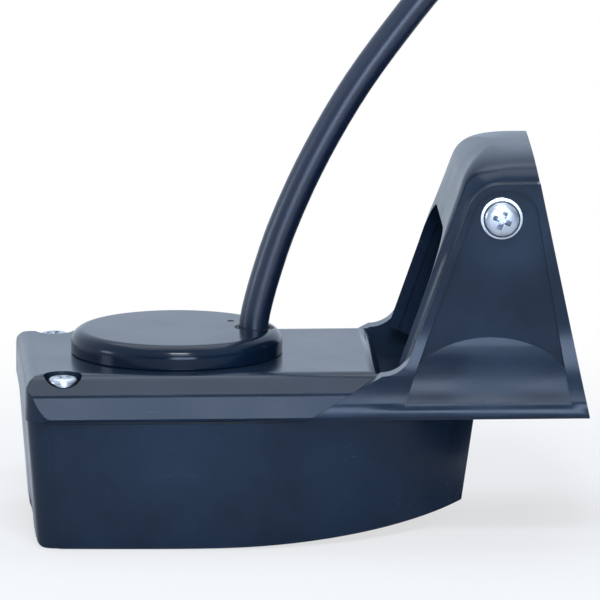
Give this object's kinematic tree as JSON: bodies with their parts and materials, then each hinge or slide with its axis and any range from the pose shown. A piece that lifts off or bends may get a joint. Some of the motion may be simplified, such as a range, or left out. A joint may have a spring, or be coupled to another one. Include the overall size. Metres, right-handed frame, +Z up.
{
  "type": "transom mount sonar transducer",
  "caption": "Black plastic sonar transducer with a boat-shaped potted body, a round element cap, a kick-up transom bracket between two ears, and a coiled cable with a round plug.",
  "frame": {"origin": "on the keel, under the middle of the deck's length and width", "axes": "+X towards the transom, +Y to the side away from the picture's camera, +Z up from the keel"},
  "size_m": [0.2732, 0.1187, 0.1647],
  "materials": {
    "housing_plastic": "moulded black plastic, semi-gloss",
    "cap_plastic": "moulded black plastic, glossy edge",
    "bracket_plastic": "moulded black plastic, semi-gloss",
    "seal_rubber": "black rubber",
    "steel": "bright stainless steel",
    "ceramic": "fired piezo ceramic, pale",
    "cork": "pressed cork",
    "potting_resin": "cast resin",
    "copper_lead": "tinned copper lead",
    "cable_jacket": "black extruded cable jacket, satin",
    "tie_strap": "black woven strap",
    "plug_plastic": "black moulded plastic, fine grain",
    "insert_plastic": "pale contact holder",
    "contact_brass": "gilt contact"
  },
  "bodies": {
    "transducer": {"lower_hull": "housing_plastic", "deck_gasket": "seal_rubber", "top_deck": "housing_plastic", "element_cap": "cap_plastic", "cap_seal": "seal_rubber", "cable_gland": "seal_rubber", "ceramic_disc": "ceramic", "cork_sleeve": "cork", "cork_backing": "cork", "potting_fill": "potting_resin", "lead_wires": "copper_lead", "deck_screws": "steel", "cable": "cable_jacket", "cable_coil": "cable_jacket", "coil_tie": "tie_strap", "cable_tail": "cable_jacket", "plug_boot": "seal_rubber", "plug_body": "plug_plastic", "plug_collar": "plug_plastic", "plug_insert": "insert_plastic", "plug_pins": "contact_brass"},
    "bracket": {"transom_bracket": "bracket_plastic", "pivot_screws": "steel", "pivot_washers": "steel", "pivot_nuts": "steel"}
  },
  "joints": [
    {"name": "kick_up", "type": "hinge", "parent": "transducer", "child": "bracket", "pos_m": [0.0499, 0, 0.085], "axis": [0, -1, 0], "range_deg": [0, 75]}
  ]
}
